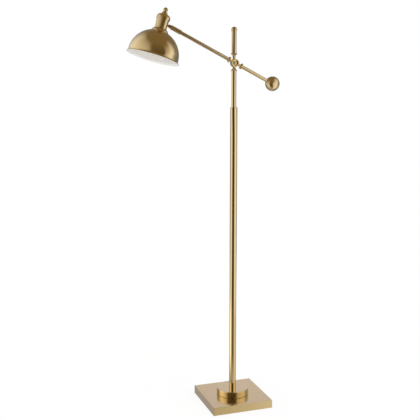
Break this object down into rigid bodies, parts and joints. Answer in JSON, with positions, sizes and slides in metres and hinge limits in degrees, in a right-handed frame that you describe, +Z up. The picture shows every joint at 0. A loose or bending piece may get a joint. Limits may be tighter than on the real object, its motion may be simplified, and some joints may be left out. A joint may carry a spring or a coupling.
{
  "type": "pharmacy floor lamp",
  "caption": "Floor lamp with a square weighted base, a two-stage pole and a tilting counterweighted arm that carries a domed metal shade on a knuckle.",
  "frame": {"origin": "centre of the base's resting face, on the pole's axis", "axes": "+Z up along the pole, +X from the pole towards the ball end of the arm, -Y the side that the hub screw faces"},
  "size_m": [0.6205, 0.2558, 1.5955],
  "materials": {
    "brass_satin": "satin brushed, clear lacquered brass plate",
    "brass_polished": "polished, clear lacquered brass plate",
    "brass_thread": "bare turned brass",
    "steel_bare": "zinc plated steel",
    "cast_weight": "rough cast, painted",
    "felt": "black felt",
    "bushing": "black moulded plastic",
    "nylon": "natural nylon",
    "fibre": "pressed fibre",
    "phenolic": "moulded phenolic",
    "shade_skin": "satin brass plate outside, white enamel inside",
    "aluminium": "pressed aluminium",
    "bulb_glass": "frosted glass"
  },
  "bodies": {
    "stand": {"base_pad": "felt", "base_plate": "steel_bare", "base_screws": "steel_bare", "base_weight": "cast_weight", "base_nut": "steel_bare", "base_washer": "steel_bare", "base_cover": "brass_satin", "cord_bushing": "bushing", "base_spacer": "steel_bare", "step_cover": "brass_satin", "step_spacer": "steel_bare", "threaded_pipe": "steel_bare", "pole_foot": "steel_bare", "lower_tube": "brass_satin", "pole_coupler": "steel_bare", "upper_tube": "brass_satin", "pole_ring": "brass_satin", "guide_bush": "nylon"},
    "glide": {"stem_glide": "brass_thread"},
    "stem": {"stem_tube": "brass_satin", "stem_clips": "steel_bare", "lower_collar": "brass_polished", "hub_post": "brass_polished", "upper_collar": "brass_polished", "post_rod": "brass_satin", "post_cap": "brass_polished", "friction_ring": "fibre", "pivot_screw": "brass_polished", "spring_washer": "steel_bare", "cap_nut": "brass_polished"},
    "arm": {"hub_arm": "brass_polished", "shade_side_collar": "brass_polished", "ball_side_collar": "brass_polished", "arm_tube": "brass_satin", "counter_tube": "brass_satin", "counterweight": "brass_satin", "swivel_stop": "brass_thread"},
    "swivel": {"swivel_sleeve": "brass_satin", "knuckle_fork": "brass_polished", "knuckle_screw": "brass_polished", "knuckle_nut": "brass_polished"},
    "head": {"knuckle_tongue": "brass_polished", "socket_cup": "brass_satin", "cup_cap": "brass_satin", "holder_bridge": "steel_bare", "bridge_screws": "steel_bare", "lamp_holder": "phenolic", "screw_shell": "brass_thread", "centre_contact": "brass_thread", "saucer": "brass_satin", "shade_ring": "phenolic", "shade": "shade_skin", "rotary_switch": "phenolic", "switch_bezel": "brass_satin", "bulb_glass": "bulb_glass", "bulb_base": "aluminium"},
    "switch": {"switch_shaft": "brass_thread", "switch_knob": "brass_polished"}
  },
  "joints": [
    {"name": "height_slide", "type": "slide", "parent": "stand", "child": "glide", "axis": [0, 0, 1], "range_m": [-0.13, 0.1]},
    {"name": "post_swivel", "type": "hinge", "parent": "glide", "child": "stem", "pos_m": [0, 0, 1.2], "axis": [0, 0, 1], "range_deg": [-175, 175]},
    {"name": "arm_tilt", "type": "hinge", "parent": "stem", "child": "arm", "pos_m": [0, -0.0125, 1.3941], "axis": [0, 1, 0], "range_deg": [-50, 20]},
    {"name": "sleeve_swivel", "type": "hinge", "parent": "arm", "child": "swivel", "pos_m": [0, -0.0125, 1.3941], "axis": [-0.8949, 0, 0.4462], "range_deg": [-90, 90]},
    {"name": "head_tilt", "type": "hinge", "parent": "swivel", "child": "head", "pos_m": [-0.26669, -0.0125, 1.52707], "axis": [-0.014, 0.9995, -0.0281], "range_deg": [-30, 60]},
    {"name": "switch_turn", "type": "hinge", "parent": "head", "child": "switch", "pos_m": [-0.33417, -0.01678, 1.40867], "axis": [0.2922, 0.031, 0.9559], "continuous": true}
  ]
}
